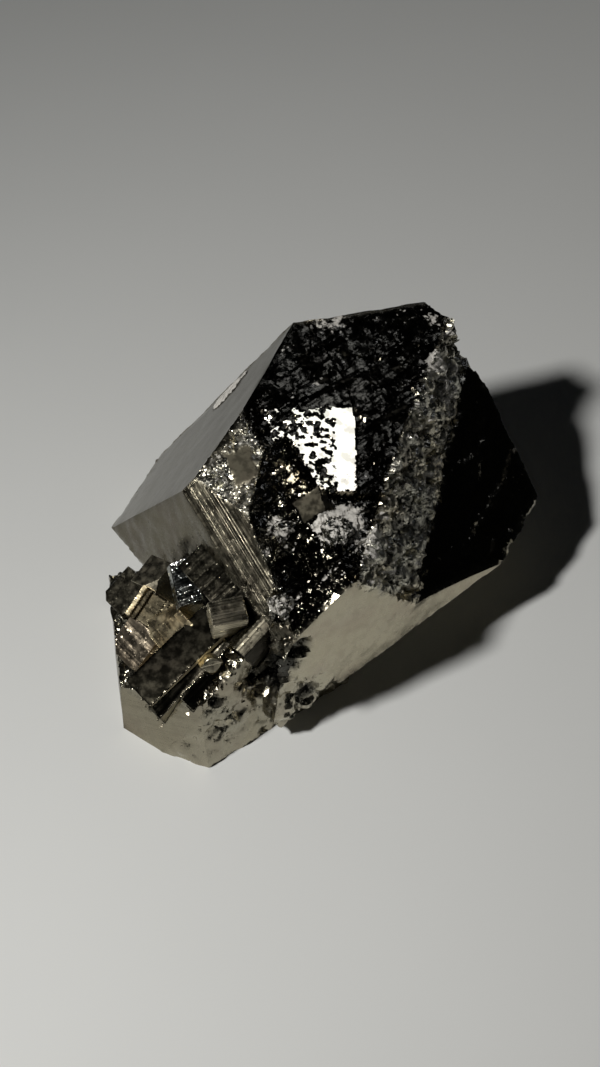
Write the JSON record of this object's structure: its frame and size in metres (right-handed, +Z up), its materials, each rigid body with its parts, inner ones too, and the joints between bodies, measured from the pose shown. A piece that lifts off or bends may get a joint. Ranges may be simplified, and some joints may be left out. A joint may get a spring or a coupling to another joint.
{
  "type": "pyrite specimen",
  "caption": "Broken pyrite crystal with a mirror-smooth face, a striated strip, a rough dark break on top and a cluster of small intergrown crystals at its lower corner.",
  "frame": {"origin": "under the middle of the specimen's box, on the ground that its flat underside rests on", "axes": "+Z up, the flat underside looking down; +Y points away from the small crystals' side, towards the plain back of the main crystal; +X to the right as seen from that side"},
  "size_m": [0.0544, 0.055, 0.0292],
  "materials": {
    "pyrite_mass": "satin",
    "pyrite_facet": "polished",
    "pyrite_brown": "satin",
    "quartz": "gloss"
  },
  "bodies": {
    "root": {"main_mass": "pyrite_mass", "beam_crystal": "pyrite_facet", "striated_cube": "pyrite_facet", "dark_crystal": "pyrite_facet", "edge_crystal": "pyrite_facet", "capped_crystal": "pyrite_facet", "dark_cube": "pyrite_facet", "stepped_crystal": "pyrite_facet", "gold_crystal": "pyrite_facet", "brown_crystal": "pyrite_brown", "ridge_crystal": "pyrite_facet", "long_slab": "pyrite_facet", "short_slab": "pyrite_facet", "leaf_crystal": "pyrite_facet", "quartz_grain_low": "quartz", "quartz_grain_middle": "quartz", "quartz_grain_right": "quartz"}
  },
  "joints": []
}
